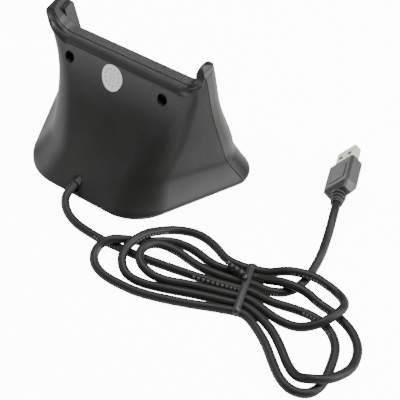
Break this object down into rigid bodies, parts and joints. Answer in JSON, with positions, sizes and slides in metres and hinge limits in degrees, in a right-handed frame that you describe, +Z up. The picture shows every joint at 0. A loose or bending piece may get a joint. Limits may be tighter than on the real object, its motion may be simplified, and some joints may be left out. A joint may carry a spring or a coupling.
{
  "type": "handheld device charging cradle",
  "caption": "Desktop cradle for a pocket computer: leaning pocket with a spring-loaded dock plug between rounded ears, flared foot, and a captive lead tied in a hank and ending in a plug.",
  "frame": {"origin": "middle of the cradle's footprint on the table, at the underside of the rubber feet", "axes": "+X across the cradle, +Y towards its back where the lead leaves, +Z up"},
  "size_m": [0.2341, 0.1477, 0.0772],
  "materials": {
    "satin_black": "fine satin texture",
    "dark_plate": "matt moulded plastic",
    "foot_rubber": "matt rubber",
    "dark_screw": "blackened steel",
    "sticker_white": "matt printed film",
    "board_green": "green circuit board",
    "chip_black": "moulded epoxy",
    "can_aluminium": "plain can",
    "led_lens": "clear tinted lens",
    "wire_red": "insulated wire",
    "ribbon_grey": "flat flexible cable",
    "ballast_iron": "plain bar",
    "plug_metal": "satin nickel",
    "contact_gold": "gold flash",
    "spring_steel": "plain steel",
    "cable_black": "soft sheen jacket",
    "tie_black": "paper-plastic twist tie",
    "overmould_grey": "satin overmould"
  },
  "bodies": {
    "cradle": {"rear_cover": "satin_black", "front_shell": "satin_black", "base_plate": "dark_plate", "rubber_feet": "foot_rubber", "base_screws": "dark_screw", "rear_screws": "dark_screw", "inspection_sticker": "sticker_white", "control_board": "board_green", "board_screws": "dark_screw", "board_chips": "chip_black", "board_capacitors": "can_aluminium", "status_led": "led_lens", "led_wires": "wire_red", "ribbon_cable": "ribbon_grey", "ballast_weights": "ballast_iron", "pivot_pin": "spring_steel", "return_springs": "spring_steel", "cable_clamp": "dark_plate", "clamp_screws": "dark_screw", "cable_sleeve": "cable_black", "lead_wires": "wire_red", "usb_lead": "cable_black", "cable_hank": "cable_black", "twist_tie": "tie_black", "plug_lead": "cable_black", "plug_body": "overmould_grey", "plug_boot": "overmould_grey", "plug_shell": "plug_metal", "plug_tongue": "chip_black", "plug_contacts": "contact_gold"},
    "dock_connector": {"connector_carrier": "dark_plate", "dock_plug_shell": "plug_metal", "dock_plug_tongue": "chip_black", "dock_plug_contacts": "contact_gold"}
  },
  "joints": [
    {"name": "connector_tilt", "type": "hinge", "parent": "cradle", "child": "dock_connector", "pos_m": [0, -0.02841, 0.01113], "axis": [1, 0, 0], "range_deg": [0, 12], "stiffness_Nm_per_rad": 0.02, "deforming": ["return_springs"]}
  ]
}
